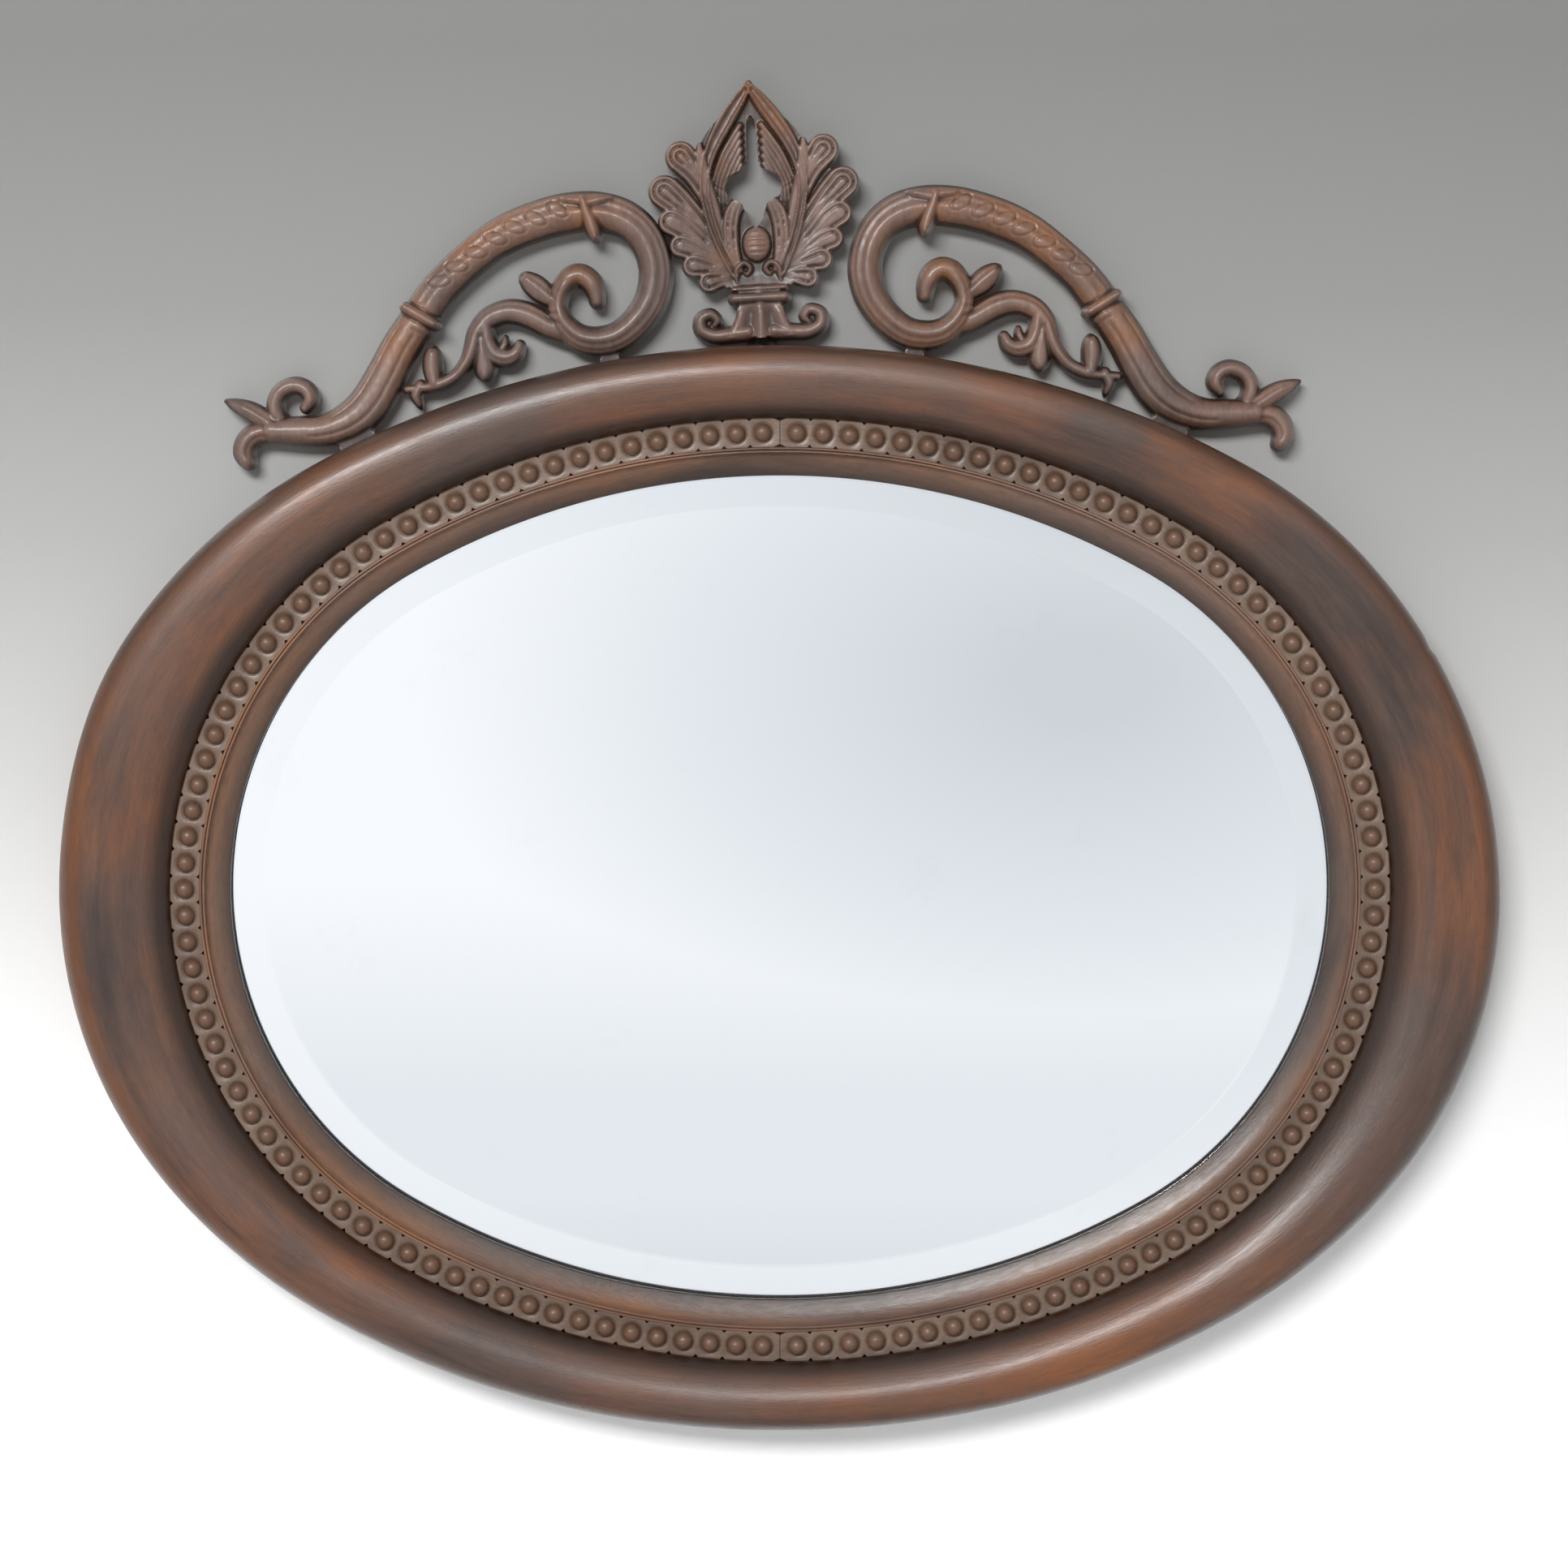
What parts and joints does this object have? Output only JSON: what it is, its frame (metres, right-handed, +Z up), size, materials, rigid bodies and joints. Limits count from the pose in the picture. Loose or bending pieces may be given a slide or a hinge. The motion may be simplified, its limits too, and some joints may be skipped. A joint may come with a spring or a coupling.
{
  "type": "oval wall mirror",
  "caption": "Oval bevelled wall mirror in a dark carved wood frame: wide torus ring, beaded strip and sloping slip, with a pierced palmette and two scrolls on top.",
  "frame": {"origin": "centre of the oval, on the plane of the wall", "axes": "+Z up, the mirror faces -Y, +Y goes into the wall, +X to the right as seen from the front"},
  "size_m": [0.844, 0.05, 0.7947],
  "materials": {
    "walnut_frame": "semi-gloss dark walnut, streaked",
    "walnut_slip": "semi-gloss dark walnut",
    "walnut_carved": "satin dark walnut, rubbed on the high spots",
    "mirror_silver": "polished, bevelled",
    "liner_card": "plain grey-brown",
    "board_ply": "bare plywood",
    "brass_plate": "dull brass",
    "zinc_steel": "zinc plated",
    "black_steel": "dark blacked steel",
    "felt_pad": "dense felt"
  },
  "bodies": {
    "root": {"outer_frame": "walnut_frame", "sight_slip": "walnut_slip", "bead_run_left": "walnut_carved", "bead_run_right": "walnut_carved", "mirror_glass": "mirror_silver", "liner_sheet": "liner_card", "backing_board": "board_ply", "button_screws": "zinc_steel", "hanger_strap_left": "zinc_steel", "hanger_strap_right": "zinc_steel", "hanger_screws": "zinc_steel", "wall_bumpers": "felt_pad", "crest_palmette": "walnut_carved", "crest_scroll_left": "walnut_carved", "crest_scroll_right": "walnut_carved", "palmette_plate": "black_steel", "scroll_plates": "black_steel", "crest_screws": "zinc_steel"},
    "turn_button_1": {"turn_button_1": "brass_plate"},
    "turn_button_2": {"turn_button_2": "brass_plate"},
    "turn_button_3": {"turn_button_3": "brass_plate"},
    "turn_button_4": {"turn_button_4": "brass_plate"},
    "turn_button_5": {"turn_button_5": "brass_plate"},
    "turn_button_6": {"turn_button_6": "brass_plate"},
    "turn_button_7": {"turn_button_7": "brass_plate"},
    "turn_button_8": {"turn_button_8": "brass_plate"},
    "hanger_ring_left": {"hanger_ring_left": "zinc_steel"},
    "hanger_ring_right": {"hanger_ring_right": "zinc_steel"}
  },
  "joints": [
    {"name": "turn_button_1_turn", "type": "hinge", "parent": "root", "child": "turn_button_1", "pos_m": [0.11762, -0.0049, 0.24321], "axis": [0, 1, 0], "continuous": true},
    {"name": "turn_button_2_turn", "type": "hinge", "parent": "root", "child": "turn_button_2", "pos_m": [0.30962, -0.0049, 0.11373], "axis": [0, 1, 0], "continuous": true},
    {"name": "turn_button_3_turn", "type": "hinge", "parent": "root", "child": "turn_button_3", "pos_m": [0.30962, -0.0049, -0.11373], "axis": [0, 1, 0], "continuous": true},
    {"name": "turn_button_4_turn", "type": "hinge", "parent": "root", "child": "turn_button_4", "pos_m": [0.11762, -0.0049, -0.24321], "axis": [0, 1, 0], "continuous": true},
    {"name": "turn_button_5_turn", "type": "hinge", "parent": "root", "child": "turn_button_5", "pos_m": [-0.11762, -0.0049, 0.24321], "axis": [0, 1, 0], "continuous": true},
    {"name": "turn_button_6_turn", "type": "hinge", "parent": "root", "child": "turn_button_6", "pos_m": [-0.30962, -0.0049, 0.11373], "axis": [0, 1, 0], "continuous": true},
    {"name": "turn_button_7_turn", "type": "hinge", "parent": "root", "child": "turn_button_7", "pos_m": [-0.30962, -0.0049, -0.11373], "axis": [0, 1, 0], "continuous": true},
    {"name": "turn_button_8_turn", "type": "hinge", "parent": "root", "child": "turn_button_8", "pos_m": [-0.11762, -0.0049, -0.24321], "axis": [0, 1, 0], "continuous": true},
    {"name": "hanger_ring_left_swing", "type": "hinge", "parent": "root", "child": "hanger_ring_left", "pos_m": [-0.32476, -0.00372, 0.165], "axis": [1, 0, 0], "range_deg": [0, 180]},
    {"name": "hanger_ring_right_swing", "type": "hinge", "parent": "root", "child": "hanger_ring_right", "pos_m": [0.32476, -0.00372, 0.165], "axis": [1, 0, 0], "range_deg": [0, 180]}
  ]
}
